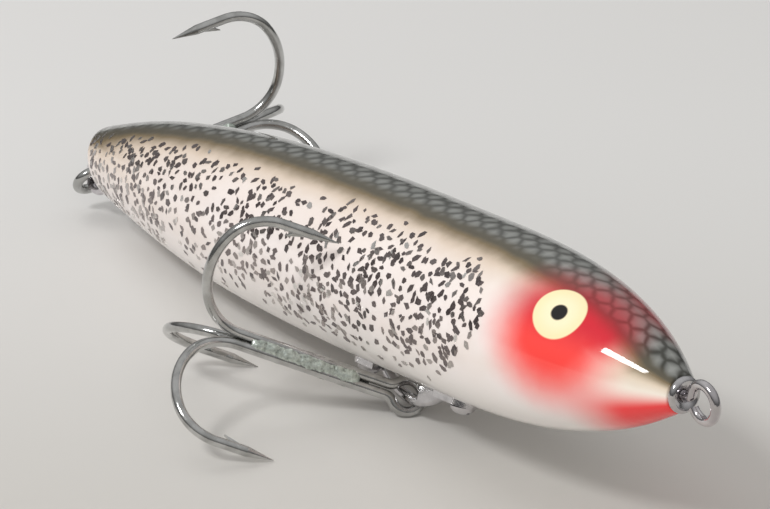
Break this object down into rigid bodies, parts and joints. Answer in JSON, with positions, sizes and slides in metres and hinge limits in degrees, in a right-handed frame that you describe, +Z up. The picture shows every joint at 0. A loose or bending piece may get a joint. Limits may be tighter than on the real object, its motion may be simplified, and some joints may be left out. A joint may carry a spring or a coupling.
{
  "type": "topwater fishing lure",
  "caption": "Cigar-shaped topwater walking lure: hollow painted plastic body with line tie at the nose and treble hooks swinging from belly and tail.",
  "frame": {"origin": "middle of the bounding box at the height of the table that the lure lies on", "axes": "+X along the body towards the nose, +Z up from the table, +Y to the lure's left"},
  "size_m": [0.1307, 0.0592, 0.0272],
  "materials": {
    "painted_body": "airbrushed paint and silver flitter under a gloss clear coat",
    "bright_wire": "bright nickel-plated wire",
    "bright_plate": "bright nickel-plated stamping",
    "hook_wire": "satin nickel-plated hook wire",
    "braze": "rough plated braze",
    "ballast_steel": "bare steel"
  },
  "bodies": {
    "lure_body": {"body_shell_left": "painted_body", "body_shell_right": "painted_body", "tail_ballast": "ballast_steel", "nose_screw_eye": "bright_wire", "nose_cup_washer": "bright_plate", "tail_screw_eye": "bright_wire", "tail_cup_washer": "bright_plate", "belly_hanger": "bright_plate", "belly_hanger_screws": "bright_plate"},
    "belly_treble": {"belly_treble_double_hook": "hook_wire", "belly_treble_single_hook": "hook_wire", "belly_treble_braze": "braze"},
    "tail_treble": {"tail_treble_double_hook": "hook_wire", "tail_treble_single_hook": "hook_wire", "tail_treble_braze": "braze"}
  },
  "joints": [
    {"name": "belly_treble_swing", "type": "hinge", "parent": "lure_body", "child": "belly_treble", "pos_m": [0.01352, -0.00042, 0.00226], "axis": [0.9954, 0.0233, 0.093], "range_deg": [0, 198]},
    {"name": "tail_treble_swing", "type": "hinge", "parent": "lure_body", "child": "tail_treble", "pos_m": [-0.05617, 0.00012, 0.00443], "axis": [-0.6494, 0.1847, 0.7376], "range_deg": [0, 216]}
  ]
}
